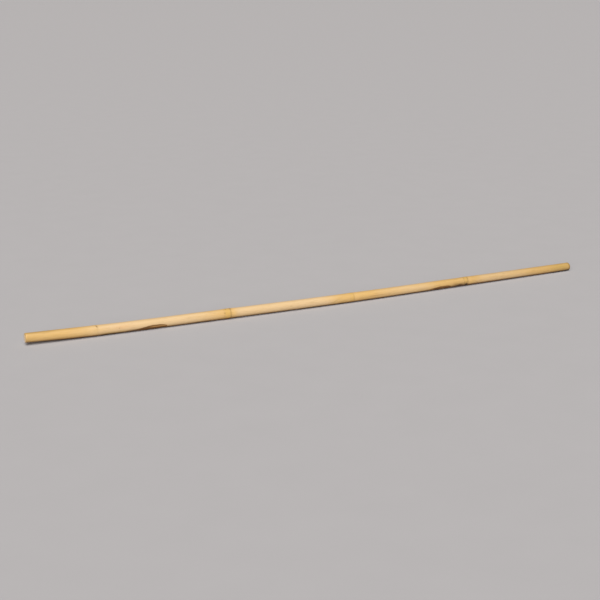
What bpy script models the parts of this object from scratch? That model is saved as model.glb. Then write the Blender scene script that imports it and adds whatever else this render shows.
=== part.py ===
"""A rattan rod: one bare length of a climbing palm's stem, sawn square at both ends.

The stem is a single grown piece, so it is one solid. Its half outline is turned about the X axis, and the
round rod is then laid along a gently bent spine: its middle bows towards -Y, and the stretch from the first
joint to the -X end rises a little. It lies on the plane z = 0, on the slight swellings of its joints and on
its +X end. All lengths are in metres.
"""
import math

import bpy

MM = 0.001

# The rod as a whole
LENGTH = 1800 * MM
SIDES = 24
RING_STEP = 60 * MM
CHAMFER = 1.2 * MM

# Radius of the stem between its joints: slim at the -X end, soon full, then an even taper to the +X end
NEAR_END_RADIUS = 13.0 * MM
FULL_RADIUS = 14.6 * MM
FAR_END_RADIUS = 12.8 * MM
FULL_FROM = 150 * MM
TAPER_FROM = 200 * MM

# The four joints, where a leaf sheath grew around the stem
JOINT_PLACES = (192 * MM, 580 * MM, 976 * MM, 1384 * MM)
SWELL = 0.6 * MM
SWELL_REACH = 11 * MM
SCAR_DEPTH = 0.3 * MM
SCAR_REACH = 1.2 * MM
JOINT_RING_STEPS = (1.6 * MM, 5 * MM, 11 * MM, 18 * MM, 28 * MM)

# How far the spine bows towards -Y at each joint, and how far the -X end is lifted
BOWS = (7 * MM, 15 * MM, 20 * MM, 11 * MM)
END_LIFT = 6 * MM
SPINE_RESOLUTION = 32

# Corners closer than this are joined where the turned outline meets itself
JOIN_WITHIN = 0.01 * MM

# Pale straw skin with a satin sheen
STRAW = (0.62, 0.42, 0.18, 1)
SATIN = 0.45


def ease(t):
    """Smooth step from 0 to 1."""
    t = min(max(t, 0), 1)
    return t * t * (3 - 2 * t)


def stem_radius(x):
    """Radius of the stem at x from its -X end, without its joints."""
    growing = NEAR_END_RADIUS + (FULL_RADIUS - NEAR_END_RADIUS) * ease(x / FULL_FROM)
    taper = (FULL_RADIUS - FAR_END_RADIUS) * max(0, (x - TAPER_FROM) / (LENGTH - TAPER_FROM))
    return growing - taper


def joint_height(x):
    """Swelling of the nearest joint less the groove of its scar."""
    height = 0
    for place in JOINT_PLACES:
        offset = x - place
        height += SWELL * math.exp(-(offset / SWELL_REACH) ** 2)
        height -= SCAR_DEPTH * math.exp(-(offset / SCAR_REACH) ** 2)
    return height


def ring_places():
    """Places along the stem that get a ring of corners: close together at the joints, wide between them."""
    offsets = [0, *JOINT_RING_STEPS, *[-step for step in JOINT_RING_STEPS]]
    near_joints = [place + offset for place in JOINT_PLACES for offset in offsets]
    clear = RING_STEP / 2 + JOINT_RING_STEPS[-1]
    count = round(LENGTH / RING_STEP)
    between = [LENGTH * i / count for i in range(1, count)]
    between = [x for x in between if min(abs(x - place) for place in JOINT_PLACES) > clear]
    return sorted(near_joints + between)


def half_outline():
    """Corners (x, radius) of the rod's half section, from the middle of one sawn face to the other's."""
    near = stem_radius(0)
    far = stem_radius(LENGTH)
    corners = [(0, 0), (0, near - CHAMFER), (CHAMFER, near)]
    corners += [(x, stem_radius(x) + joint_height(x)) for x in ring_places()]
    corners += [(LENGTH - CHAMFER, far), (LENGTH, far - CHAMFER), (LENGTH, 0)]
    return corners


def spine_points():
    """Points (x, y, z) of the rod's axis at its two ends and its joints, with every joint touching z = 0."""
    flat_side = math.cos(math.pi / SIDES)
    points = [(0, 0, END_LIFT + stem_radius(0) * flat_side)]
    for place, bow in zip(JOINT_PLACES, BOWS):
        points.append((place, -bow, (stem_radius(place) + SWELL) * flat_side))
    points.append((LENGTH, 0, stem_radius(LENGTH) * flat_side))
    return points


def collection(name, hidden=False):
    """A new collection in the scene, shown in renders unless it is hidden."""
    made = bpy.data.collections.new(name)
    made.hide_render = hidden
    bpy.context.scene.collection.children.link(made)
    return made


def rattan_material():
    """The stem's bare skin in one plain colour."""
    made = bpy.data.materials.new("rattan")
    made.use_nodes = True
    shader = made.node_tree.nodes["Principled BSDF"]
    shader.inputs["Base Color"].default_value = STRAW
    shader.inputs["Roughness"].default_value = SATIN
    return made


def make_spine(home):
    """The guide curve that the rod is bent along."""
    curve = bpy.data.curves.new("spine", "CURVE")
    curve.dimensions = "3D"
    curve.twist_mode = "Z_UP"
    curve.resolution_u = SPINE_RESOLUTION
    spline = curve.splines.new("BEZIER")
    points = spine_points()
    spline.bezier_points.add(len(points) - 1)
    for knot, point in zip(spline.bezier_points, points):
        knot.co = point
        knot.handle_left_type = "AUTO"
        knot.handle_right_type = "AUTO"
    spine = bpy.data.objects.new("spine", curve)
    spine.hide_render = True
    spine.display_type = "WIRE"
    home.objects.link(spine)
    return spine


def make_rod(home, spine):
    """The rod: its half outline turned about X, then bent along the spine."""
    start = math.pi / SIDES
    corners = [(x, r * math.cos(start), r * math.sin(start)) for x, r in half_outline()]
    edges = [(i, i + 1) for i in range(len(corners) - 1)]
    mesh = bpy.data.meshes.new("rattan_rod")
    mesh.from_pydata(corners, edges, [])
    mesh.materials.append(rattan_material())
    rod = bpy.data.objects.new("rattan_rod", mesh)
    home.objects.link(rod)

    turn = rod.modifiers.new("turn", "SCREW")
    turn.axis = "X"
    turn.angle = 2 * math.pi
    turn.steps = SIDES
    turn.render_steps = SIDES
    turn.use_merge_vertices = True
    turn.merge_threshold = JOIN_WITHIN
    turn.use_smooth_shade = True
    turn.use_normal_flip = True

    bend = rod.modifiers.new("bend", "CURVE")
    bend.object = spine
    bend.deform_axis = "POS_X"
    return rod


def settle(rod, movers):
    """Moves everything so that the rod's box stands centred on the origin with its underside at z = 0."""
    bpy.context.view_layer.update()
    shape = rod.evaluated_get(bpy.context.evaluated_depsgraph_get()).to_mesh()
    corners = [vertex.co for vertex in shape.vertices]
    low = [min(corner[i] for corner in corners) for i in range(3)]
    high = [max(corner[i] for corner in corners) for i in range(3)]
    for mover in movers:
        mover.location = (-(low[0] + high[0]) / 2, -(low[1] + high[1]) / 2, -low[2])
    size = [high[i] - low[i] for i in range(3)]
    print("rod box in mm:", [round(side / MM, 2) for side in size], "corners:", len(corners))


def main():
    for old in list(bpy.data.objects):
        bpy.data.objects.remove(old, do_unlink=True)
    solids = collection("rattan_rod")
    guides = collection("guides", hidden=True)
    spine = make_spine(guides)
    rod = make_rod(solids, spine)
    settle(rod, (spine, rod))


main()
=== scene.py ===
# %% [markdown]
# A rattan rod lying on a pale studio floor. Rattan is the stem of a climbing palm. It grows as one solid
# piece, and every few hands' breadths it has a joint, where a leaf sheath was wrapped around it. This rod is
# bare: it keeps its smooth straw-coloured skin, and both of its ends are sawn square. The lesson builds the
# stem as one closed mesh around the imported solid, paints it with shader maths, and sets the light and the
# camera of a plain studio picture.

import math
import random

import bmesh
import bpy
import numpy as np
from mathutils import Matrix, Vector, bvhtree, geometry


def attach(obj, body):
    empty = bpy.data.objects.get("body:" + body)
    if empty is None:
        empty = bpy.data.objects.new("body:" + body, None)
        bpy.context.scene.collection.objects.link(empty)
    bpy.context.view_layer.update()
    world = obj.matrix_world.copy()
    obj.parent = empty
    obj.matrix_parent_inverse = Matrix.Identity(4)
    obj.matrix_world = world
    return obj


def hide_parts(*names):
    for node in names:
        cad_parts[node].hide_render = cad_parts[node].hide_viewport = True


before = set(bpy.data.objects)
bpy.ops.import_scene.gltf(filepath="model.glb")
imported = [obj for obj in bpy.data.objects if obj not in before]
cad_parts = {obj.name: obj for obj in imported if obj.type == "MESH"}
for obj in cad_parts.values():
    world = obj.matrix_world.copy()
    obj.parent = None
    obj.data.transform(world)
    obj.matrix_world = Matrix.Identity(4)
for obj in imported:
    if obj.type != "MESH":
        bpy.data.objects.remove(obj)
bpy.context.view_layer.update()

# %% [markdown]
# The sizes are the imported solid's own: the same length, the same three thicknesses, the same bow and the
# same four joint places, where the stem touches the floor. Keeping them under the same names here means that
# the fine model and the plain solid agree. The solid has 24 flat sides and lies on one of them, so its
# middle line runs a little lower than its full radius.

# %% Sizes of the stem
MM = 0.001
LENGTH = 1800 * MM
NEAR_END_RADIUS = 13.0 * MM
FULL_RADIUS = 14.6 * MM
FAR_END_RADIUS = 12.8 * MM
FULL_FROM = 150 * MM
TAPER_FROM = 200 * MM
JOINT_PLACES = (192 * MM, 580 * MM, 976 * MM, 1384 * MM)
BOWS = (7 * MM, 15 * MM, 20 * MM, 11 * MM)
END_LIFT = 6 * MM
SWELL = 0.6 * MM
SOLID_SIDES = 24
FLAT_SIDE = math.cos(math.pi / SOLID_SIDES)
EDGE_ROUND = 1.2 * MM
STEM_START = (-899.63 * MM, 10.66 * MM, 0.02 * MM)
print("stem:", round(LENGTH / MM), "mm long,", round(2 * FULL_RADIUS / MM, 1), "mm thick at its full part")

# %% [markdown]
# Each joint is a band of skin between two rings. The ring on the right is the clear one: a low lip with a
# fine groove behind it, where the sheath let go. The ring on the left is faint. No two joints are alike, so
# each has its own band length, swelling, groove and lean. A leaning ring is one that is cut by a tilted
# plane. The rings are placed as the photo shows them, up to four millimetres from the solid's plain ones.


# %% What each joint looks like
class Joint:
    """One joint, with lengths given in mm: its clear ring, its band to the left, and how they show."""

    def __init__(self, place, band, swell, groove, faint_groove, lean, lean_towards, ring_paint, band_paint):
        self.place = place * MM
        self.band = band * MM
        self.swell = swell * MM
        self.groove = groove * MM
        self.faint_groove = faint_groove * MM
        self.lean = lean * MM
        self.lean_towards = math.radians(lean_towards)
        self.ring_paint = ring_paint
        self.band_paint = band_paint


JOINTS = (
    Joint(190.5, 8, 0.40, 0.12, 0.04, 1.8, 60, 0.10, 0.2),
    Joint(577.8, 19, 0.60, 0.34, 0.14, 1.0, 180, 0.58, 0.65),
    Joint(974.0, 12, 0.30, 0.18, 0.06, 2.0, 165, 0.4, 0.5),
    Joint(1387.5, 13, 0.45, 0.32, 0.26, 2.2, 165, 0.85, 0.5),
)
print("joints at", [round(joint.place / MM) for joint in JOINTS], "mm")

# %% [markdown]
# The stem's middle line is a smooth curve through its two ends and its joints, as in the solid. Blender's own
# curve maths turns its handles into close points, and the distance along the line is summed up from them.

# %% The middle line of the stem
POINTS_BETWEEN_KNOTS = 200


def ease(t):
    """Smooth step from 0 to 1."""
    t = min(max(t, 0), 1)
    return t * t * (3 - 2 * t)


def stem_radius(x):
    """Radius of the stem without its joints, as the solid has it."""
    growing = NEAR_END_RADIUS + (FULL_RADIUS - NEAR_END_RADIUS) * ease(x / FULL_FROM)
    taper = (FULL_RADIUS - FAR_END_RADIUS) * max(0, (x - TAPER_FROM) / (LENGTH - TAPER_FROM))
    return growing - taper


def middle_line():
    """Close points on the middle line of the solid, and each point's distance along it."""
    knots = [(0, 0, END_LIFT + stem_radius(0) * FLAT_SIDE)]
    knots += [(x, -bow, (stem_radius(x) + SWELL) * FLAT_SIDE) for x, bow in zip(JOINT_PLACES, BOWS)]
    knots += [(LENGTH, 0, stem_radius(LENGTH) * FLAT_SIDE)]
    curve = bpy.data.curves.new("middle_line", "CURVE")
    curve.dimensions = "3D"
    spline = curve.splines.new("BEZIER")
    spline.bezier_points.add(len(knots) - 1)
    for knot, place in zip(spline.bezier_points, knots):
        knot.co = Vector(place) + Vector(STEM_START)
        knot.handle_left_type = knot.handle_right_type = "AUTO"
    drawn = bpy.data.objects.new("middle_line", curve)
    bpy.context.scene.collection.objects.link(drawn)
    bpy.context.view_layer.update()
    bends = list(spline.bezier_points)
    points = []
    for a, b in zip(bends, bends[1:]):
        between = geometry.interpolate_bezier(a.co, a.handle_right, b.handle_left, b.co, POINTS_BETWEEN_KNOTS)
        points += between[:-1]
    points.append(bends[-1].co.copy())
    bpy.data.objects.remove(drawn)
    bpy.data.curves.remove(curve)
    points = np.array([list(point) for point in points])
    steps = np.linalg.norm(np.diff(points, axis=0), axis=1)
    return points, np.concatenate([[0], np.cumsum(steps)])


line_points, line_distance = middle_line()
print("middle line:", round(line_distance[-1] / MM, 2), "mm long")

# %% [markdown]
# The skin needs a ring of corners every few millimetres, but only at the joints and at the sawn edges do fine
# grooves and roundings need rings half a millimetre apart or closer. A steady fine step would make the mesh
# far too heavy, and a steady coarse one would miss the grooves, so the step changes along the stem.

# %% Rings of corners along the stem
SIDES = 112
PLAIN_STEP = 4 * MM
JOINT_STEP = 0.5 * MM
JOINT_CLEARANCE = 4.5 * MM
EDGE_STEPS = tuple(step * MM for step in (0, 0.08, 0.2, 0.4, 0.65, 0.95, 1.3, 1.8, 2.4, 3.2))
EDGE_CLEARANCE = EDGE_STEPS[-1] * 1.5


def ring_places():
    """Distances along the stem that get a ring of corners."""
    x = 0
    places = []
    while x < LENGTH:
        places.append(x)
        close = any(-joint.band - JOINT_CLEARANCE < x - joint.place < JOINT_CLEARANCE for joint in JOINTS)
        x += JOINT_STEP if close else PLAIN_STEP
    inner = [x for x in places if EDGE_CLEARANCE < x < LENGTH - EDGE_CLEARANCE]
    return [*EDGE_STEPS, *inner, *[LENGTH - step for step in reversed(EDGE_STEPS)]]


def ring_line():
    """An object with one corner for each ring, joined in a chain, which knows its distance along the stem."""
    places = ring_places()
    axes = [np.interp(places, line_distance, line_points[:, axis]) for axis in range(3)]
    centres = np.stack(axes, axis=1)
    mesh = bpy.data.meshes.new("ring_line")
    mesh.from_pydata(centres.tolist(), [(i, i + 1) for i in range(len(places) - 1)], [])
    mesh.attributes.new("along", "FLOAT", "POINT").data.foreach_set("value", places)
    line = bpy.data.objects.new("ring_line", mesh)
    bpy.context.scene.collection.objects.link(line)
    return line


line = ring_line()
print(len(line.data.vertices), "rings of", SIDES, "corners")

# %% [markdown]
# Both the shape and the paint are sums and products of simple curves, and trees of Math nodes are hard to
# read. This small class stands for one socket and lets Python's own operators add the nodes. Everything else,
# such as a noise or a mix, comes from one function that makes a node, sets it up and fills its sockets.


# %% Node maths in plain expressions
def add_node(tree, kind, settings=None, inputs=None, output=0):
    """Makes a node, applies its settings, fills its sockets with values or links, and returns one output."""
    made = tree.nodes.new(kind)
    for name, setting in (settings or {}).items():
        setattr(made, name, setting)
    for name, item in (inputs or {}).items():
        if isinstance(item, Value):
            tree.links.new(item.socket, made.inputs[name])
        else:
            made.inputs[name].default_value = item
    return Value(tree, made.outputs[output])


def maths(tree, operation, *items):
    """One Math node."""
    return add_node(tree, "ShaderNodeMath", {"operation": operation}, dict(enumerate(items)))


class Value:
    """A node socket that Python's operators work on as they do on a number."""

    def __init__(self, tree, socket):
        self.tree = tree
        self.socket = socket

    def __add__(self, other):
        return maths(self.tree, "ADD", self, other)

    def __sub__(self, other):
        return maths(self.tree, "SUBTRACT", self, other)

    def __rsub__(self, other):
        return maths(self.tree, "SUBTRACT", other, self)

    def __mul__(self, other):
        return maths(self.tree, "MULTIPLY", self, other)

    def __truediv__(self, other):
        return maths(self.tree, "DIVIDE", self, other)

    def __rtruediv__(self, other):
        return maths(self.tree, "DIVIDE", other, self)

    def __neg__(self):
        return maths(self.tree, "MULTIPLY", self, -1)

    def __abs__(self):
        return maths(self.tree, "ABSOLUTE", self)

    def __pow__(self, power):
        return maths(self.tree, "POWER", self, power)

    __radd__ = __add__
    __rmul__ = __mul__


def larger(value, other):
    """The larger of two values."""
    return maths(value.tree, "MAXIMUM", value, other)


def smaller(value, other):
    """The smaller of two values."""
    return maths(value.tree, "MINIMUM", value, other)


def join(x, y, z):
    """A vector from three values."""
    return add_node(x.tree, "ShaderNodeCombineXYZ", None, {0: x, 1: y, 2: z})


def split(vector):
    """The three parts of a vector."""
    parts = add_node(vector.tree, "ShaderNodeSeparateXYZ", None, {0: vector}).socket.node.outputs
    return [Value(vector.tree, part) for part in parts]


def vector_maths(operation, a, b):
    """One Vector Math node."""
    return add_node(a.tree, "ShaderNodeVectorMath", {"operation": operation}, {0: a, 1: b})


print("node maths ready")

# %% [markdown]
# A few shapes turn up again and again along the stem: a hill for a swelling or a line, a rise for a smooth
# change, a window for a stretch, and patches of noise that are drawn out lengthwise, because everything in a
# palm stem runs along its fibres. All of them read the place on the straightened stem and follow its bow.


# %% Curves and noise along the stem
def hill(value, width):
    """1 where the value is 0, falling smoothly to nothing past the width on both sides."""
    scaled = value / width
    return maths(value.tree, "EXPONENT", -(scaled * scaled))


def rise(value, start, end):
    """0 up to start, 1 from end, and smooth between them."""
    inputs = {"Value": value, "From Min": start, "From Max": end}
    return add_node(value.tree, "ShaderNodeMapRange", {"interpolation_type": "SMOOTHSTEP"}, inputs)


def window(value, start, end, soft):
    """1 between start and end, with soft edges of the given width inside them."""
    return rise(value, start, start + soft) * (1 - rise(value, end - soft, end))


def stem_noise(place, size, seed, detail=2.0, roughness=0.5):
    """Random value from 0 to 1 over the stem, in patches of about that length and girth."""
    x, across, up = place
    length, girth = size
    spot = join(x / length + seed, across / girth, up / girth)
    inputs = {"Vector": spot, "Scale": 1.0, "Detail": detail, "Roughness": roughness}
    return add_node(x.tree, "ShaderNodeTexNoise", {"noise_dimensions": "3D"}, inputs)


def ring_offset(joint, place):
    """Distance past a joint's clear ring, which leans because a tilted plane cuts it."""
    x, across, up = place
    towards = across * math.cos(joint.lean_towards) + up * math.sin(joint.lean_towards)
    return x - joint.place + towards * (joint.lean / FULL_RADIUS)


def facing(place, towards):
    """How squarely the skin looks in a direction around the stem: 1 straight at it, 0 sideways on."""
    return (place[1] * math.cos(towards) + place[2] * math.sin(towards)) / FULL_RADIUS


def sideways(place, towards):
    """Distance across the skin from the line that looks in a direction around the stem."""
    return place[2] * math.cos(towards) - place[1] * math.sin(towards)


print("curves and noise ready")

# %% [markdown]
# Two long brown scars lie low on the side that faces the camera, where something rubbed the skin while it
# grew. Each starts as a point, widens to the right and ends in a rounder tip. Scars follow the fibres, so
# their edges are ragged: one noise moves the edge in short tongues and another in thin strands. One outline
# serves both the shallow dent and the paint, so that the two always lie together.

# %% Outline of the long scars
ROUND_TIP = 22 * MM
GROWTH_SHARE = 0.6
TONGUE_SIZE, TONGUE_REACH = (16 * MM, 3 * MM), 2.4 * MM
STRAND_SIZE, STRAND_REACH = (22 * MM, 0.7 * MM), 2.2 * MM
SCAR_SIDE = (0.3, 0.5)
SCAR_START = 0.1


class Streak:
    """A long brown scar, with lengths given in mm, the way it faces in degrees, and its lighter strip."""

    def __init__(self, start, end, towards, half_height, strip_place, strip_paint, seed):
        self.start = start * MM
        self.end = end * MM
        self.towards = math.radians(towards)
        self.half_height = half_height * MM
        self.strip_place = strip_place * MM
        self.strip_paint = strip_paint
        self.seed = seed

    def inside(self, place, soft):
        """1 on the streak and 0 off it, with a ragged edge, a pointed start and a rounder end."""
        x = place[0]
        tongues = (stem_noise(place, TONGUE_SIZE, self.seed, detail=4) - 0.5) * TONGUE_REACH
        strands = (stem_noise(place, STRAND_SIZE, self.seed + 1) - 0.5) * STRAND_REACH
        past = smaller(larger((x - self.end) / ROUND_TIP + 1, 0), 1)
        full = self.start + (self.end - self.start) * GROWTH_SHARE
        growth = rise(x, self.start, full) * (1 - past * past) ** 0.5
        edge = abs(sideways(place, self.towards)) + tongues + strands - growth * self.half_height
        near = rise(facing(place, self.towards), *SCAR_SIDE) * rise(growth, 0, SCAR_START)
        return (1 - rise(edge, -soft, soft)) * near


STREAKS = (
    Streak(286, 388, 210, 6.6, -2.4, 1.0, 11),
    Streak(1236, 1322, 207, 4.6, -2.2, 0.5, 23),
)
print("streaks:", [(round(streak.start / MM), round(streak.end / MM)) for streak in STREAKS])

# %% [markdown]
# The skin's radius is a sum: the slim end, the full part and the taper, then slow lumps, fine ribs, a slight
# oval, the joints and the sawn edges. The edges are rounded as quarter circles. The near end's upper edge is
# worn by handling, so its rounding is wider on the side that looks up. The other heights stay below about a
# millimetre, because a stem that is dressed for furniture has only soft traces of its growth.

# %% Heights on the skin
LUMP_HEIGHT, LUMP_SIZE = 0.30 * MM, (55 * MM, 14 * MM)
RIB_HEIGHT, RIB_SIZE = 0.10 * MM, (240 * MM, 2.2 * MM)
OVAL = 0.12 * MM
SCAR_DEPTH = 0.35 * MM
BAND_SPREAD = 7 * MM
LIP_HEIGHT, LIP_PLACE, LIP_WIDTH = 0.26 * MM, 1.1 * MM, 1.2 * MM
GROOVE_PLACE, GROOVE_WIDTH = 0.6 * MM, 0.9 * MM
WORN_TURN = math.radians(110)
WORN_EXTRA = 2.2 * MM
WORN_SIDE = (0.2, 0.95)
EDGE_SHARE = 0.85


def plain_radius(given, x):
    """The stem's own radius: slim at the near end, soon full, then tapering to the far end."""
    growing = rise(x, 0, FULL_FROM) * (given["Full radius"] - given["Near end radius"])
    tapering = larger((x - TAPER_FROM) / (LENGTH - TAPER_FROM), 0)
    taper = tapering * (given["Full radius"] - given["Far end radius"])
    return given["Near end radius"] + growing - taper


def surface_height(given, place):
    """Slow lumps, fine ribs and a slight oval, as any grown stem has."""
    lumps = stem_noise(place, LUMP_SIZE, seed=3) - 0.5
    ribs = stem_noise(place, RIB_SIZE, seed=5, detail=3, roughness=0.6) - 0.5
    oval = place[1] * place[2] * (OVAL / FULL_RADIUS**2)
    return lumps * given["Lump height"] * 2 + ribs * given["Rib height"] * 2 + oval


def joint_height(given, place, joint, patchy):
    """How far a joint's band and lip stand out, less its grooves."""
    offset = ring_offset(joint, place)
    band = hill(offset + joint.band / 2, joint.band / 2 + BAND_SPREAD) * joint.swell
    lip = hill(offset + LIP_PLACE, LIP_WIDTH) * given["Lip height"] * (joint.groove / JOINTS[1].groove)
    groove = hill(offset - GROOVE_PLACE, GROOVE_WIDTH) * joint.groove
    faint = hill(offset + joint.band, GROOVE_WIDTH) * joint.faint_groove
    return band + (lip - groove - faint) * patchy


def quarter_circle(from_end, rounding):
    """How far a rounded edge falls below the skin, at a distance from the sawn face."""
    inward = larger(1 - from_end / rounding, 0)
    return (1 - (1 - inward * inward) ** 0.5) * rounding


def edge_drop(x, up, rounding):
    """The rounding of the sawn edges, which is wider where the near end's upper edge is worn."""
    worn = rise(up, *WORN_SIDE) * WORN_EXTRA
    return (quarter_circle(x, rounding + worn) + quarter_circle(LENGTH - x, rounding)) * EDGE_SHARE


print("ribs", RIB_HEIGHT / MM, "mm, lumps", LUMP_HEIGHT / MM, "mm, scars", SCAR_DEPTH / MM, "mm")

# %% [markdown]
# The skin is swept by a Geometry Nodes tree. A circle of radius one is carried along the chain of rings, and
# every corner is then moved out to the stem's true radius. The tree's inputs carry the sizes by name, so that
# the same tree could sweep a thinner or a smoother stem. It also stores where each corner lies on the
# straightened stem, in a vector named stem, so that the paint can follow the stem.

# %% The tree that sweeps the skin
FLOAT, WHOLE = "NodeSocketFloat", "NodeSocketInt"
PATCH_SIZE = (18 * MM, 6 * MM)
PATCH_RANGE, PATCH_LEAST = 1.2, 0.4
DENT_EDGE = 0.8 * MM


def named(tree, name, kind="FLOAT_VECTOR"):
    """Reads a named attribute in a Geometry Nodes tree."""
    return add_node(tree, "GeometryNodeInputNamedAttribute", {"data_type": kind}, {"Name": name})


def store(shape, name, vector):
    """Stores a vector on every point of a shape."""
    inputs = {"Geometry": shape, "Name": name, "Value": vector}
    settings = {"data_type": "FLOAT_VECTOR", "domain": "POINT"}
    return add_node(shape.tree, "GeometryNodeStoreNamedAttribute", settings, inputs)


def start_tree(name, sizes):
    """A Geometry Nodes tree with geometry in and out, and one named input for each size."""
    tree = bpy.data.node_groups.new(name, "GeometryNodeTree")
    tree.interface.new_socket("Geometry", in_out="INPUT", socket_type="NodeSocketGeometry")
    for label, kind in sizes.items():
        tree.interface.new_socket(label, in_out="INPUT", socket_type=kind)
    tree.interface.new_socket("Geometry", in_out="OUTPUT", socket_type="NodeSocketGeometry")
    sockets = tree.nodes.new("NodeGroupInput").outputs
    return tree, {socket.name: Value(tree, socket) for socket in sockets if socket.name}


def swept_radius(given, x, across, up):
    """The stem's radius everywhere on its skin."""
    place = (x, across * FULL_RADIUS, up * FULL_RADIUS)
    radius = plain_radius(given, x) + surface_height(given, place)
    patchy = stem_noise(place, PATCH_SIZE, seed=7, detail=3) * PATCH_RANGE + PATCH_LEAST
    for joint in JOINTS:
        radius = radius + joint_height(given, place, joint, patchy)
    for streak in STREAKS:
        radius = radius - streak.inside(place, DENT_EDGE) * given["Scar depth"]
    return radius - edge_drop(x, facing(place, WORN_TURN), given["Edge round"])


def skin_tree():
    """Sweeps the stem's skin along a chain of corners."""
    sizes = {"Sides": WHOLE, "Near end radius": FLOAT, "Full radius": FLOAT, "Far end radius": FLOAT}
    sizes.update({"Edge round": FLOAT, "Lip height": FLOAT, "Rib height": FLOAT, "Lump height": FLOAT})
    sizes.update({"Scar depth": FLOAT, "Material": "NodeSocketMaterial"})
    tree, given = start_tree("stem_skin", sizes)

    chain = add_node(tree, "GeometryNodeMeshToCurve", None, {"Mesh": given["Geometry"]})
    chain = store(chain, "centre", add_node(tree, "GeometryNodeInputPosition"))
    ring = add_node(tree, "GeometryNodeCurvePrimitiveCircle", None, {"Resolution": given["Sides"]})
    tube = add_node(tree, "GeometryNodeCurveToMesh", None, {"Curve": chain, "Profile Curve": ring})

    centre = named(tree, "centre")
    x = named(tree, "along", "FLOAT")
    outward = vector_maths("SUBTRACT", add_node(tree, "GeometryNodeInputPosition"), centre)
    _, across, up = split(outward)
    radius = swept_radius(given, x, across, up)
    tube = store(tube, "stem", join(x, across * radius, up * radius))
    moved = add_node(tree, "ShaderNodeVectorMath", {"operation": "SCALE"}, {0: outward, "Scale": radius})
    position = vector_maths("ADD", centre, moved)
    skin = add_node(tree, "GeometryNodeSetPosition", None, {"Geometry": tube, "Position": position})
    skin = add_node(tree, "GeometryNodeSetShadeSmooth", None, {"Geometry": skin, "Shade Smooth": True})
    skin = add_node(tree, "GeometryNodeRealizeInstances", None, {"Geometry": skin})
    material = {"Geometry": skin, "Material": given["Material"]}
    skin = add_node(tree, "GeometryNodeSetMaterial", None, material)
    tree.links.new(skin.socket, tree.nodes.new("NodeGroupOutput").inputs["Geometry"])
    return tree


stem_skin = skin_tree()
print("skin tree:", len(stem_skin.nodes), "nodes")

# %% [markdown]
# The skin of a rattan stem is hard, thin and full of silica, so it has a satin sheen. Its colour isn't even:
# just past each joint, where the sheath kept the light off for longest, it is pale, and towards the next
# joint it turns golden. The far end is painted a little darker, as painted shade where the light falls off.
# The lower side gets painted shade, and a painted dark brown shade along the underside draws the dark line
# under the rod. Painted shade also darkens the skin beside both sawn faces. Most of this is done with tints,
# which multiply the colour below them. Fine fibre lines run the whole length. The table of pale stretches
# says where each starts, is full, fades and ends, in mm, and how pale it is.

# %% Colours of the skin
PALE = (0.667, 0.472, 0.257, 1)
GOLDEN = (0.632, 0.403, 0.151, 1)
PALE_STRETCHES = (
    (110, 250, 430, 600, 1.0),
    (580, 605, 850, 945, 1.0),
    (1010, 1140, 1200, 1290, 0.6),
    (1400, 1460, 1540, 1680, 0.7),
)
CLOUD_SIZE, CLOUD_PALENESS = (70 * MM, 9 * MM), 0.9
# Painted shade: the far end is painted darker, where the light falls off.
FAR_SHADE_TINT, DARKER_FROM = (0.86, 0.85, 0.84, 1), 900 * MM
FLECK_TINT, FLECK_STRENGTH = (0.50, 0.44, 0.25, 1), 0.35
FLECK_SIZE, FLECK_RANGE = (34 * MM, 3.5 * MM), (0.55, 0.78)
FIBRE_TINT, FIBRE_STRENGTH = (0.55, 0.42, 0.28, 1), 0.22
FIBRE_SIZE, FIBRE_RANGE = (90 * MM, 0.5 * MM), (0.42, 0.75)


def blend(factor, a, b, kind="MIX"):
    """One Mix node for colours, whose sockets are the seventh and eighth in and the third out."""
    settings = {"data_type": "RGBA", "blend_type": kind}
    return add_node(factor.tree, "ShaderNodeMix", settings, {0: factor, 6: a, 7: b}, output=2)


def tint(cover, colour, shade):
    """The colour, multiplied by a shade where the cover is 1."""
    return blend(cover, colour, shade, "MULTIPLY")


def paleness(x):
    """How pale the skin is along the stem: it rises just past each joint and falls well before the next."""
    total = x * 0
    for start, full, fading, end, strength in PALE_STRETCHES:
        grown = rise(x, start * MM, full * MM) * (1 - rise(x, fading * MM, end * MM))
        total = total + grown * strength
    return total


def plain_skin(place, clouds):
    """The skin's colour from pale to golden, with painted shade darkening the far end, and with olive flecks.
    """
    x = place[0]
    colour = blend(smaller(larger(paleness(x) + clouds * CLOUD_PALENESS, 0), 1), GOLDEN, PALE)
    # Painted shade towards the far end.
    colour = tint(rise(x, DARKER_FROM, LENGTH), colour, FAR_SHADE_TINT)
    flecks = rise(stem_noise(place, FLECK_SIZE, seed=41, detail=4), *FLECK_RANGE) * FLECK_STRENGTH
    return tint(flecks, colour, FLECK_TINT)


print("pale skin", PALE[:3], "golden skin", GOLDEN[:3])

# %% [markdown]
# The lower side gets painted shade by which way the skin faces. The painted dark brown shade of the underside
# reaches a little higher towards the far end, and the same clouds that vary the colour make its border uneven.
# Painted shade also darkens the skin beside both sawn faces.

# %% Painted shade on the lower side, the underside and beside the cut edges
UNDERSIDE_TURN = math.radians(258)
# Painted shade: a dark brown underside draws the dark line under the rod, and the lower side is painted darker.
UNDERSIDE_SHADE_TINT, UNDERSIDE_SHADE_RANGE = (0.28, 0.155, 0.040, 1), (0.58, 0.93)
UNDERSIDE_CLOUDS = 0.10
CLIMB, CLIMB_FROM, CLIMB_TO = 0.12, 900 * MM, 1500 * MM
LOWER_SIDE_SHADE_TINT, LOWER_SIDE_SHADE_RANGE = (0.88, 0.86, 0.80, 1), (0.3, 0.8)
# Painted shade beside both sawn faces, where the light falls off at the ends.
END_SHADE_TINT = (0.60, 0.54, 0.38, 1)
FAR_EDGE_SHADE = (1 * MM, 9 * MM)
NEAR_EDGE_SHADE, NEAR_EDGE_SHADE_STRENGTH = (0.5 * MM, 3 * MM), 0.4


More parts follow.
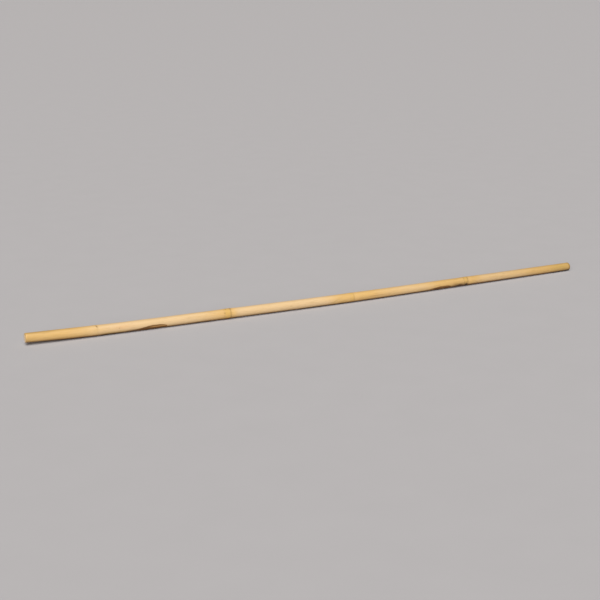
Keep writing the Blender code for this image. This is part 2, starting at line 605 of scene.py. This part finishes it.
def shade_sides(colour, place, clouds):
    """Paints a dark brown shade along the underside and a lighter painted shade over the lower side."""
    down = facing(place, UNDERSIDE_TURN)
    climbing = clouds * UNDERSIDE_CLOUDS + rise(place[0], CLIMB_FROM, CLIMB_TO) * CLIMB
    colour = tint(rise(down + climbing, *UNDERSIDE_SHADE_RANGE), colour, UNDERSIDE_SHADE_TINT)
    return tint(rise(down, *LOWER_SIDE_SHADE_RANGE), colour, LOWER_SIDE_SHADE_TINT)


def shade_edges(colour, x):
    """Darkens the skin beside both sawn faces with painted shade, where the light falls off at the ends."""
    near = (1 - rise(x, *NEAR_EDGE_SHADE)) * NEAR_EDGE_SHADE_STRENGTH
    return tint((1 - rise(LENGTH - x, *FAR_EDGE_SHADE)) + near, colour, END_SHADE_TINT)


print("underside", UNDERSIDE_SHADE_TINT[:3], "lower side", LOWER_SIDE_SHADE_TINT[:3])

# %% [markdown]
# On the photo each joint reads as a short olive band, closed on its right by a thin brown ring with a bright
# patch of young skin beyond it. The two long brown scars are rougher and darker than the skin. Each has a
# yellowed border, paler fibres and a lighter strip through its wide end, fainter on the smaller scar.

# %% Paint of the joints and the long scars
BAND_TINT, BAND_END, BAND_SOFT = (0.95, 0.93, 0.66, 1), 0.3 * MM, 4 * MM
RING_BROWN, RING_PLACE, RING_WIDTH, FAINT_WIDTH = (0.28, 0.165, 0.045, 1), 0.3 * MM, 2.0 * MM, 1.6 * MM
YOUNG_TINT, YOUNG_PLACE, YOUNG_WIDTH, YOUNG_STRENGTH = (1.14, 1.14, 1.16, 1), 9 * MM, 7 * MM, 0.6
SCAR_BROWN = (0.100, 0.036, 0.005, 1)
SCAR_LIGHT = (0.44, 0.235, 0.075, 1)
SCAR_BORDER, SCAR_BORDER_SOFT = (0.80, 0.62, 0.34, 1), 2.4 * MM
SCAR_SOFT = 0.6 * MM
STRIP_WIDTH, STRIP_FROM, STRIP_TO = 1.5 * MM, -10 * MM, 15 * MM
MOTTLE_SIZE, MOTTLE_RANGE, MOTTLE_LIGHT = (9 * MM, 1.6 * MM), (0.3, 0.7), 0.12
SCAR_FIBRE_SIZE, SCAR_FIBRE_RANGE, SCAR_FIBRE_LIGHT = (40 * MM, 0.6 * MM), (0.45, 0.75), 0.4


def joint_paint(colour, place, joint, patchy):
    """Paints one joint's band, its rings and the bright skin past them."""
    offset = ring_offset(joint, place)
    band = window(offset, -joint.band, BAND_END, BAND_SOFT) * joint.band_paint
    ring = hill(offset - RING_PLACE, RING_WIDTH) * patchy
    faint = hill(offset + joint.band, FAINT_WIDTH) * patchy * (joint.faint_groove / joint.groove)
    young = hill(offset - YOUNG_PLACE, YOUNG_WIDTH) * YOUNG_STRENGTH * joint.band_paint
    colour = tint(young, colour, YOUNG_TINT)
    colour = tint(band, colour, BAND_TINT)
    return blend(smaller(ring + faint, 1) * joint.ring_paint, colour, RING_BROWN)


def streak_paint(colour, place, streak):
    """Paints one long scar: darker at its edges and lighter through its middle."""
    inside = streak.inside(place, SCAR_SOFT)
    middle = (streak.start + streak.end) / 2
    shown = rise(place[0], middle + STRIP_FROM, middle + STRIP_TO) * streak.strip_paint
    strip = hill(sideways(place, streak.towards) - streak.strip_place, STRIP_WIDTH) * shown
    mottled = rise(stem_noise(place, MOTTLE_SIZE, streak.seed + 3, detail=4), *MOTTLE_RANGE)
    fibres = rise(stem_noise(place, SCAR_FIBRE_SIZE, streak.seed + 5, detail=3), *SCAR_FIBRE_RANGE)
    light = smaller(strip + mottled * MOTTLE_LIGHT + fibres * SCAR_FIBRE_LIGHT, 1)
    colour = tint(streak.inside(place, SCAR_BORDER_SOFT), colour, SCAR_BORDER)
    return blend(inside, colour, blend(light, SCAR_BROWN, SCAR_LIGHT)), inside


print("paint for", len(JOINTS), "joints and", len(STREAKS), "long scars")

# %% [markdown]
# A used stem also has many small marks. Dark dots sit on some rings, olive smears lie along the lower side
# beside the scars, and faint tints lie near both ends. Two marks are painted shade: one darkens the near end's
# upper side and one widens the dark line under the far end. Each mark is one soft oval with its own tint, so
# all of them can be listed in a table: place along the stem, the way it faces in degrees, half its length,
# half its height, slant, tint and strength. Sparse dots of dirt and fungus come from a cell pattern instead.

# %% Small marks
BROWN_TINT = (0.30, 0.20, 0.10, 1)
OLIVE_TINT = (0.72, 0.72, 0.42, 1)
ROSY_TINT = (1.0, 0.88, 0.80, 1)
NEAR_END_SHADE_TINT = (0.78, 0.75, 0.66, 1)
FAINT_TINT = (0.96, 0.96, 0.94, 1)
GREENISH_TINT = (0.86, 0.88, 0.72, 1)
DARK_OLIVE_TINT = (0.42, 0.40, 0.14, 1)
DARK_BROWN_TINT = (0.20, 0.12, 0.04, 1)
SMEAR_TINT = (0.20, 0.15, 0.05, 1)
NEARLY_BLACK_TINT = (0.06, 0.03, 0.005, 1)
FAR_END_SHADE_TINT = (0.26, 0.19, 0.08, 1)
MARK_SIDE = (0, 0.3)
MARK_LEAST = 0.5
DOT_SPACING = (5 * MM, 3 * MM)
DOT_FROM, DOT_REACH, DOT_SOFT = 0.93, 0.17, 0.06


class StainAndShade:
    """A small soft mark, a stain or a painted shade: place, the way it faces, half length and height, slant,
    tint.
    """

    def __init__(self, place, towards, half_length, half_height, slant, shade, strength):
        self.place = place * MM
        self.towards = math.radians(towards)
        self.half_length = half_length * MM
        self.half_height = half_height * MM
        self.slant = slant
        self.shade = shade
        self.strength = strength

    def paint(self, colour, place, patchy):
        """The colour with this mark on it."""
        side = sideways(place, self.towards)
        along = (place[0] - self.place - side * self.slant) / self.half_length
        up = side / self.half_height
        oval = maths(up.tree, "EXPONENT", -(along * along + up * up))
        cover = oval * (patchy * (1 - MARK_LEAST) + MARK_LEAST)
        near = rise(facing(place, self.towards), *MARK_SIDE)
        return tint(cover * near * self.strength, colour, self.shade)


STAINS_AND_SHADES = (
    # Painted shade over the near end's upper side, where the light falls off.
    StainAndShade(35, 92, 80, 7, 0, NEAR_END_SHADE_TINT, 1),
    StainAndShade(20, 160, 90, 18, 0, FAINT_TINT, 1),
    StainAndShade(190.5, 116, 2, 5, 0.3, BROWN_TINT, 0.95),
    StainAndShade(181.5, 78, 2.4, 3.5, 0, OLIVE_TINT, 0.9),
    StainAndShade(237, 228, 34, 5.5, 0, DARK_OLIVE_TINT, 1),
    StainAndShade(287, 222, 17, 3.8, 0, DARK_BROWN_TINT, 1),
    StainAndShade(251.5, 168, 1.8, 1.8, 0, BROWN_TINT, 0.4),
    StainAndShade(262, 160, 24, 6, 0, ROSY_TINT, 0.7),
    StainAndShade(559, 156, 1.4, 1.7, 0, BROWN_TINT, 0.8),
    StainAndShade(563.9, 101, 1.7, 3, 0, BROWN_TINT, 0.75),
    StainAndShade(578.3, 104, 2.4, 4.5, 0, BROWN_TINT, 0.7),
    StainAndShade(577.3, 212, 2.4, 4.5, 0, BROWN_TINT, 0.6),
    StainAndShade(765, 172, 4, 1.5, 1, BROWN_TINT, 0.3),
    StainAndShade(909, 180, 3, 4.5, -2.8, OLIVE_TINT, 0.8),
    StainAndShade(1049, 181, 30, 1.7, 0, BROWN_TINT, 0.35),
    StainAndShade(1301, 206, 3, 2.6, 4.5, BROWN_TINT, 0.8),
    StainAndShade(1328, 214, 2.6, 2.4, 4, BROWN_TINT, 0.8),
    StainAndShade(1352, 208, 22, 6, 0, SMEAR_TINT, 1.2),
    StainAndShade(1380, 209, 5, 5.5, 0, NEARLY_BLACK_TINT, 1.3),
    StainAndShade(1424, 202, 2, 4.5, 2, BROWN_TINT, 0.5),
    StainAndShade(1765, 160, 55, 13, 0, GREENISH_TINT, 1),
    # Painted shade: widens the dark line under the far end.
    StainAndShade(1786, 236, 42, 6.5, 0, FAR_END_SHADE_TINT, 1),
)


def dots(place):
    """Sparse small dark dots, as dirt and fungus leave on a stem."""
    x, across, up = place
    length, girth = DOT_SPACING
    spot = join(x / length, across / girth, up / girth)
    cells = add_node(x.tree, "ShaderNodeTexVoronoi", None, {"Vector": spot, "Scale": 1.0})
    colour = Value(x.tree, cells.socket.node.outputs["Color"])
    size = add_node(x.tree, "ShaderNodeSeparateColor", None, {0: colour})
    reach = rise(size, DOT_FROM, 1) * DOT_REACH
    return 1 - rise(cells - reach, -DOT_SOFT, DOT_SOFT)


print("small marks:", len(STAINS_AND_SHADES))

# %% [markdown]
# The finish puts these together on one Principled shader. The skin is satin, the scars are duller, and a
# little bump along the fibres breaks up the sheen, because ribs finer than the mesh can't be modelled one by
# one.

# %% The skin's finish
SHEEN = 0.35
SATIN, HANDLED_ROUGHER, SCAR_ROUGHER = 0.34, 0.2, 0.3
HANDLED_SIZE = (40 * MM, 6 * MM)
WEAR_SIZE, WEAR_RANGE = (20 * MM, 5 * MM), (0.2, 0.6)
DOT_STRENGTH = 0.6
FIBRE_DEPTH = 0.05 * MM


def start_material(name):
    """A material with a Principled shader, its tree, and the place on the stem read from the mesh."""
    material = bpy.data.materials.new(name)
    material.use_nodes = True
    tree = material.node_tree
    stem = add_node(tree, "ShaderNodeAttribute", {"attribute_name": "stem"}, output="Vector")
    return material, tree, tree.nodes["Principled BSDF"], split(stem)


def feed(tree, shader, **values):
    """Links values to the shader's sockets."""
    for name, value in values.items():
        tree.links.new(value.socket, shader.inputs[name.replace("_", " ")])


def bump(tree, height, depth):
    """Normals of fine relief that is that deep, in metres."""
    return add_node(tree, "ShaderNodeBump", None, {"Distance": depth, "Height": height, "Strength": 1.0})


def skin_material():
    """The bare satin skin of the stem."""
    material, tree, shader, place = start_material("rattan_skin")
    shader.inputs["Specular IOR Level"].default_value = SHEEN
    clouds = stem_noise(place, CLOUD_SIZE, seed=31, detail=3) - 0.5
    fibres = stem_noise(place, FIBRE_SIZE, seed=37, detail=3, roughness=0.65)
    patchy = rise(stem_noise(place, WEAR_SIZE, seed=53, detail=4), *WEAR_RANGE)
    # Painted shade on the lower side and along the underside.
    colour = shade_sides(plain_skin(place, clouds), place, clouds)
    # Painted shade beside both sawn faces.
    colour = shade_edges(colour, place[0])
    colour = tint(rise(fibres, *FIBRE_RANGE) * FIBRE_STRENGTH, colour, FIBRE_TINT)
    for joint in JOINTS:
        colour = joint_paint(colour, place, joint, patchy)
    scarred = place[0] * 0
    for streak in STREAKS:
        colour, inside = streak_paint(colour, place, streak)
        scarred = scarred + inside
    for soft_mark in STAINS_AND_SHADES:
        colour = soft_mark.paint(colour, place, patchy)
    colour = blend(dots(place) * DOT_STRENGTH, colour, RING_BROWN)
    handled = stem_noise(place, HANDLED_SIZE, seed=61, detail=3)
    rough = handled * HANDLED_ROUGHER + SATIN + scarred * SCAR_ROUGHER
    feed(tree, shader, Base_Color=colour, Roughness=rough, Normal=bump(tree, fibres, FIBRE_DEPTH))
    return material


skin_finish = skin_material()
print("skin finish:", len(skin_finish.node_tree.nodes), "nodes")

# %% [markdown]
# A sawn end shows what the skin hides: pale, dull pith, thick with the cut ends of hundreds of sap tubes. The
# tubes crowd together near the skin, where the stem is hardest. The saw leaves faint straight marks, and the
# open grain holds grey dirt. The cut tubes are real pits, and their deep parts are also painted dark as
# painted shade.

# %% The finish of the sawn ends
PITH = (0.60, 0.47, 0.32, 1)
RIM = (0.52, 0.37, 0.20, 1)
RIM_FROM, RIM_TO = 9.5 * MM, 12.8 * MM
# Painted shade inside the pits: the deeper a corner lies, the darker it is painted.
PIT_SHADE = (0.07, 0.045, 0.025, 1)
PIT_SHADE_STRENGTH, PIT_SHADE_FROM, PIT_SHADE_TO = 0.92, 0.03 * MM, 0.20 * MM
GRAIN_TINT, GRAIN_STRENGTH = (0.55, 0.48, 0.40, 1), 0.5
GRAIN_SIZE, GRAIN_RANGE = (2 * MM, 0.35 * MM), (0.4, 0.75)
DIRT_TINT, DIRT_STRENGTH = (0.70, 0.70, 0.72, 1), 0.45
DIRT_SIZE, DIRT_RANGE = (5 * MM, 5 * MM), (0.45, 0.75)
SAW_ACROSS, SAW_UP, SAW_STRETCH = 0.8, 0.6, 0.04
SAW_SIZE = (9 * MM, 0.5 * MM)
END_ROUGHNESS = 0.85
GRAIN_HEIGHT, END_RELIEF = 0.6, 0.12 * MM


def end_material():
    """The dull end grain of the sawn faces."""
    material, tree, shader, place = start_material("rattan_end_grain")
    x, across, up = place
    from_middle = (across * across + up * up) ** 0.5
    dirt = stem_noise(place, DIRT_SIZE, seed=71, detail=4)
    grain = stem_noise(place, GRAIN_SIZE, seed=73, detail=3, roughness=0.7)
    over_marks = across * SAW_ACROSS + up * SAW_UP
    along_marks = (up * SAW_ACROSS - across * SAW_UP) * SAW_STRETCH
    marks = stem_noise((x, over_marks, along_marks), SAW_SIZE, seed=79)
    colour = blend(rise(from_middle + dirt * MM, RIM_FROM, RIM_TO), PITH, RIM)
    colour = tint(rise(grain, *GRAIN_RANGE) * GRAIN_STRENGTH, colour, GRAIN_TINT)
    colour = tint(rise(dirt, *DIRT_RANGE) * DIRT_STRENGTH, colour, DIRT_TINT)
    # Painted shade: the deep parts of the pits are painted dark.
    pit_shade = rise(smaller(x, LENGTH - x), PIT_SHADE_FROM, PIT_SHADE_TO)
    colour = blend(pit_shade * PIT_SHADE_STRENGTH, colour, PIT_SHADE)
    shader.inputs["Roughness"].default_value = END_ROUGHNESS
    feed(tree, shader, Base_Color=colour, Normal=bump(tree, grain * GRAIN_HEIGHT + marks, END_RELIEF))
    return material


end_finish = end_material()
print("end grain finish:", len(end_finish.node_tree.nodes), "nodes")

# %% [markdown]
# With both finishes ready, the tree is put on the chain of rings as a modifier. Its inputs are set by their
# sockets' identifiers, and the evaluated result is kept as a plain mesh.


# %% Sweep the skin
def sweep(line, tree, values):
    """The mesh that a tree makes from an object, with the tree's inputs set by name."""
    modifier = line.modifiers.new(tree.name, "NODES")
    modifier.node_group = tree
    for item in tree.interface.items_tree:
        if item.in_out == "INPUT" and item.name in values:
            modifier[item.identifier] = values[item.name]
    evaluated = line.evaluated_get(bpy.context.evaluated_depsgraph_get())
    mesh = bpy.data.meshes.new_from_object(evaluated)
    line.modifiers.remove(modifier)
    return mesh


skin_sizes = {"Sides": SIDES, "Near end radius": NEAR_END_RADIUS, "Full radius": FULL_RADIUS}
skin_sizes.update({"Far end radius": FAR_END_RADIUS, "Edge round": EDGE_ROUND, "Lip height": LIP_HEIGHT})
skin_sizes.update({"Rib height": RIB_HEIGHT, "Lump height": LUMP_HEIGHT, "Scar depth": SCAR_DEPTH})
skin_sizes["Material"] = skin_finish
stem_mesh = sweep(line, stem_skin, skin_sizes)
bpy.data.objects.remove(line)
print("skin:", len(stem_mesh.vertices), "corners and", len(stem_mesh.polygons), "faces")

# %% [markdown]
# The two sawn faces close the mesh. Each cut sap tube is a real little pit: a ring of six corners and a
# sunken middle. The pits are laid out like the seeds of a sunflower, which spaces them evenly without any
# rows, and a Delaunay triangulation then fills the whole round face between the pits and the rim in one go.

# %% Sap tubes on a sawn face
PORES = 620
PORE_CORNERS = 6
PORE_RADII = (0.12, 0.20)
PORE_DEPTHS = (0.25, 0.5)
GOLDEN_ANGLE = math.pi * (3 - math.sqrt(5))
CROWDING = 0.47
TURN_CHANCE = 0.02
PLACE_CHANCE = 0.12
RIM_CLEARANCE = 0.75


def pore_corners(reach, chance):
    """Flat corners (x, y, depth) in mm of all the pits on a face, which reach that far from its middle."""
    corners = []
    for i in range(PORES):
        from_middle = reach * ((i + 0.5) / PORES) ** CROWDING
        turn = i * GOLDEN_ANGLE + chance.uniform(-TURN_CHANCE, TURN_CHANCE)
        middle_x = from_middle * math.cos(turn) + chance.uniform(-PLACE_CHANCE, PLACE_CHANCE)
        middle_y = from_middle * math.sin(turn) + chance.uniform(-PLACE_CHANCE, PLACE_CHANCE)
        radius = chance.uniform(*PORE_RADII)
        depth = chance.uniform(*PORE_DEPTHS)
        corners.append((middle_x, middle_y, depth))
        start = chance.uniform(0, math.pi)
        for k in range(PORE_CORNERS):
            angle = start + 2 * math.pi * k / PORE_CORNERS
            corners.append((middle_x + radius * math.cos(angle), middle_y + radius * math.sin(angle), 0))
    return corners


print(PORES, "sap tubes on each end")

# %% [markdown]
# The rim of the swept skin is found as the edge that has only one face. The face is filled in flat
# millimetres and carried back to the stem, and every new corner also gets its place on the straightened stem
# for the end grain.

# %% Close the two sawn ends
END_SEED = 17
INSIDE_ONLY = 1
SAME_POINT_WITHIN = 1e-5


def fill_end(shape, stem, at_far_end, chance):
    """Fills one open end of the skin with a sawn face."""
    middle_x = LENGTH if at_far_end else 0
    open_corners = {corner for edge in shape.edges if edge.is_boundary for corner in edge.verts}
    rim = [corner for corner in open_corners if abs(corner[stem].x - middle_x) < LENGTH / 2]
    rim.sort(key=lambda corner: math.atan2(corner[stem].z, corner[stem].y))
    centre = sum((corner.co for corner in rim), Vector()) / len(rim)
    normal = (rim[0].co - centre).cross(rim[len(rim) // 4].co - centre).normalized()
    inward = normal if (normal.x > 0) != at_far_end else -normal
    side = Vector((0, 1, 0))
    side = (side - normal * side.dot(normal)).normalized()
    height = normal.cross(side)

    flat = [((corner.co - centre).dot(side) / MM, (corner.co - centre).dot(height) / MM, 0) for corner in rim]
    reach = min(math.hypot(x, y) for x, y, _ in flat) - RIM_CLEARANCE
    flat += pore_corners(reach, chance)
    outline = list(range(len(rim)))
    points = [Vector(spot[:2]) for spot in flat]
    filled = geometry.delaunay_2d_cdt(points, [], [outline], INSIDE_ONLY, SAME_POINT_WITHIN)
    _, _, triangles, sources, _, _ = filled
    corners = list(rim)
    for x, y, depth in flat[len(rim) :]:
        corner = shape.verts.new(centre + (side * x + height * y + inward * depth) * MM)
        corner[stem] = Vector((middle_x + (-depth if at_far_end else depth) * MM, x * MM, y * MM))
        corners.append(corner)
    for triangle in triangles:
        face = shape.faces.new([corners[sources[i][0]] for i in triangle])
        face.material_index = 1
    return len(triangles)


def close_stem(mesh):
    """Closes both ends of the skin and faces everything outward."""
    shape = bmesh.new()
    shape.from_mesh(mesh)
    stem = shape.verts.layers.float_vector["stem"]
    for at_far_end in (False, True):
        count = fill_end(shape, stem, at_far_end, random.Random(END_SEED + at_far_end))
        print("sawn face:", count, "triangles")
    bmesh.ops.recalc_face_normals(shape, faces=shape.faces)
    open_edges = sum(not edge.is_manifold for edge in shape.edges)
    print("open edges:", open_edges, "volume:", round(shape.calc_volume(signed=True) * 1000, 4), "litres")
    shape.to_mesh(mesh)
    shape.free()


close_stem(stem_mesh)
stem_mesh.materials.append(end_finish)
for name in ("centre", "along"):
    if name in stem_mesh.attributes:
        stem_mesh.attributes.remove(stem_mesh.attributes[name])
triangle_count = sum(len(face.vertices) - 2 for face in stem_mesh.polygons)
print("stem:", len(stem_mesh.vertices), "corners,", triangle_count, "triangles")

# %% [markdown]
# Paint maps of this stem can be baked onto a square. A stem is sixty times longer than it is thick, so one
# long strip would leave nearly all of the square empty and smear the paint. The skin is therefore cut into
# four strips, laid one above the other, and the two sawn faces sit in the narrow row that is left at the top.

# %% Flat layout of the skin for baking
STRIPS = 4
STRIP_SHARE = 0.2325
END_SHARE = 0.065
FAR_FACE_SHIFT = 1.5 * END_SHARE
MARGIN = 0.003
SEAM_TURN = math.radians(300)


def flat_layout(mesh):
    """Writes the layout: distance along each strip to the right, turn around the stem upwards."""
    stem = np.empty(len(mesh.vertices) * 3)
    mesh.attributes["stem"].data.foreach_get("vector", stem)
    stem = stem.reshape(-1, 3)
    layout = mesh.uv_layers.new(name="OFBake")
    rings = np.array(ring_places())
    cuts = [rings[np.abs(rings - LENGTH * i / STRIPS).argmin()] for i in range(STRIPS + 1)]
    for face in mesh.polygons:
        spots = stem[list(face.vertices)]
        if face.material_index == 1:
            start = FAR_FACE_SHIFT * (spots[0][0] > LENGTH / 2) + END_SHARE / 2
            flat = spots[:, 1:] / (2 * FULL_RADIUS) * (END_SHARE - 2 * MARGIN)
            flat = flat + (start, STRIPS * STRIP_SHARE + END_SHARE / 2)
        else:
            strip = int(np.searchsorted(cuts, spots[:, 0].mean())) - 1
            turns = (np.arctan2(spots[:, 2], spots[:, 1]) - SEAM_TURN) % (2 * math.pi)
            if turns.max() - turns.min() > math.pi:
                turns = np.where(turns < math.pi, turns + 2 * math.pi, turns)
            right = (spots[:, 0] - cuts[strip]) / (cuts[strip + 1] - cuts[strip])
            around = turns / (2 * math.pi) * (1 - 2 * MARGIN / STRIP_SHARE)
            upward = (strip + around) * STRIP_SHARE + MARGIN
            flat = np.stack([MARGIN + right * (1 - 2 * MARGIN), upward], axis=1)
        for loop, spot in zip(face.loop_indices, flat):
            layout.data[loop].uv = spot
    return layout.name


print("layout:", flat_layout(stem_mesh), "with", STRIPS, "strips")

# %% [markdown]
# The finished mesh becomes an object of its own. It rides on the body named root, and the plain solid is
# hidden in its place. Measuring how far some of its corners lie from the solid shows how closely both agree.

# %% The stem as an object
MEASURE_EVERY = 7


def distance_from_solid(piece):
    """Median and largest distance, in mm, from some of the piece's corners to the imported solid."""
    solid = bpy.data.objects["rattan_rod"]
    reader = bvhtree.BVHTree.FromObject(solid, bpy.context.evaluated_depsgraph_get())
    back = solid.matrix_world.inverted()
    corners = list(piece.data.vertices)[::MEASURE_EVERY]
    gaps = sorted(reader.find_nearest(back @ corner.co)[3] for corner in corners)
    return gaps[len(gaps) // 2] / MM, gaps[-1] / MM


stem_mesh.name = "rattan_stem"
rattan_stem = bpy.data.objects.new("rattan_stem", stem_mesh)
bpy.context.scene.collection.objects.link(rattan_stem)
bpy.context.view_layer.update()
print("distance from the solid, in mm: median %.2f, largest %.2f" % distance_from_solid(rattan_stem))
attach(rattan_stem, "root")
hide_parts("rattan_rod")

# %% [markdown]
# The rod lies on plain pale grey studio paper. One very large sheet reaches to the horizon, so that no edge
# of it shows from any side. Paper isn't quite even, so its colour varies by a hair.

# %% Studio floor
FLOOR_SIZE = 400
PAPER = (0.45, 0.44, 0.45)
PAPER_UNEVENNESS = 0.02
PAPER_ROUGHNESS, PAPER_SHEEN = 0.9, 0.2


def floor_material():
    """Matt grey paper with a barely visible mottling."""
    material = bpy.data.materials.new("studio_paper")
    material.use_nodes = True
    tree = material.node_tree
    shader = tree.nodes["Principled BSDF"]
    place = add_node(tree, "ShaderNodeTexCoord", output="Object")
    inputs = {"Vector": place, "Scale": 9.0, "Detail": 5.0}
    mottled = add_node(tree, "ShaderNodeTexNoise", None, inputs)
    shader.inputs["Roughness"].default_value = PAPER_ROUGHNESS
    shader.inputs["Specular IOR Level"].default_value = PAPER_SHEEN
    lighter = tuple(part * (1 + PAPER_UNEVENNESS) for part in PAPER) + (1,)
    darker = tuple(part * (1 - PAPER_UNEVENNESS) for part in PAPER) + (1,)
    feed(tree, shader, Base_Color=blend(mottled, darker, lighter))
    return material


floor_mesh = bpy.data.meshes.new("studio_floor")
half = FLOOR_SIZE / 2
floor_corners = [(-half, -half, 0), (half, -half, 0), (half, half, 0), (-half, half, 0)]
floor_mesh.from_pydata(floor_corners, [], [(0, 1, 2, 3)])
floor_mesh.materials.append(floor_material())
studio_floor = bpy.data.objects.new("studio_floor", floor_mesh)
bpy.context.scene.collection.objects.link(studio_floor)
print("floor:", FLOOR_SIZE, "m square")

# %% [markdown]
# The light of the photo is soft and comes from the camera's left. A broad source high up lights the paper and
# draws the dark line under the rod, and a second one near the floor lights the rod's side. Far enough away,
# such sources act like very wide suns, which are even over the whole floor. A faint warm surround fills the
# shadows, and the camera alone sees plain grey past the floor.

# %% Studio light
FLOOR_LIGHT = 3.18
HIGH_SHARE, HIGH_LEFT, HIGH_UP, HIGH_WIDTH = 0.68, 40, 70, 50
LOW_SHARE, LOW_LEFT, LOW_UP, LOW_WIDTH = 0.32, 40, 22, 38
SURROUND = (0.064, 0.040, 0.014, 1)
BACKDROP = (0.450, 0.445, 0.455, 1)


def aim(thing, direction):
    """Turns a lamp so that it shines in a direction."""
    thing.rotation_euler = Vector(direction).to_track_quat("-Z", "Y").to_euler()


def soft_source(name, share, left, up, width):
    """A wide sun that gives its share of the floor's light from so many degrees left of the front and up."""
    left, up = math.radians(left), math.radians(up)
    lamp = bpy.data.lights.new(name, "SUN")
    lamp.energy = share * FLOOR_LIGHT / math.sin(up)
    lamp.angle = math.radians(width)
    source = bpy.data.objects.new(name, lamp)
    bpy.context.scene.collection.objects.link(source)
    aim(source, (math.sin(left) * math.cos(up), math.cos(left) * math.cos(up), -math.sin(up)))


soft_source("high_source", HIGH_SHARE, HIGH_LEFT, HIGH_UP, HIGH_WIDTH)
soft_source("low_source", LOW_SHARE, LOW_LEFT, LOW_UP, LOW_WIDTH)

world = bpy.data.worlds.new("studio")
world.use_nodes = True
bpy.context.scene.world = world
seen = add_node(world.node_tree, "ShaderNodeLightPath", output="Is Camera Ray")
around = blend(seen, SURROUND, BACKDROP)
world.node_tree.links.new(around.socket, world.node_tree.nodes["Background"].inputs["Color"])
print("light: two soft sources,", HIGH_WIDTH, "and", LOW_WIDTH, "degrees wide")

# %% [markdown]
# The camera stands about three metres away and a little under a metre up, to the left of the rod's middle, so
# that the rod runs away to the upper right and its near end looks thicker than its far one. The lens is a
# short telephoto.

# %% Camera
LENS = 70
CAMERA_PLACE = (-1.5866, -2.9165, 0.9214)
CAMERA_DOWN = 15.313
CAMERA_TURN = -27.071

camera = bpy.data.objects.new("camera", bpy.data.cameras.new("camera"))
camera.data.lens = LENS
camera.location = CAMERA_PLACE
camera.rotation_euler = (math.radians(90 - CAMERA_DOWN), 0, math.radians(CAMERA_TURN))
bpy.context.scene.collection.objects.link(camera)
bpy.context.scene.camera = camera
bpy.context.scene.view_settings.view_transform = "Standard"
print("camera:", LENS, "mm lens")
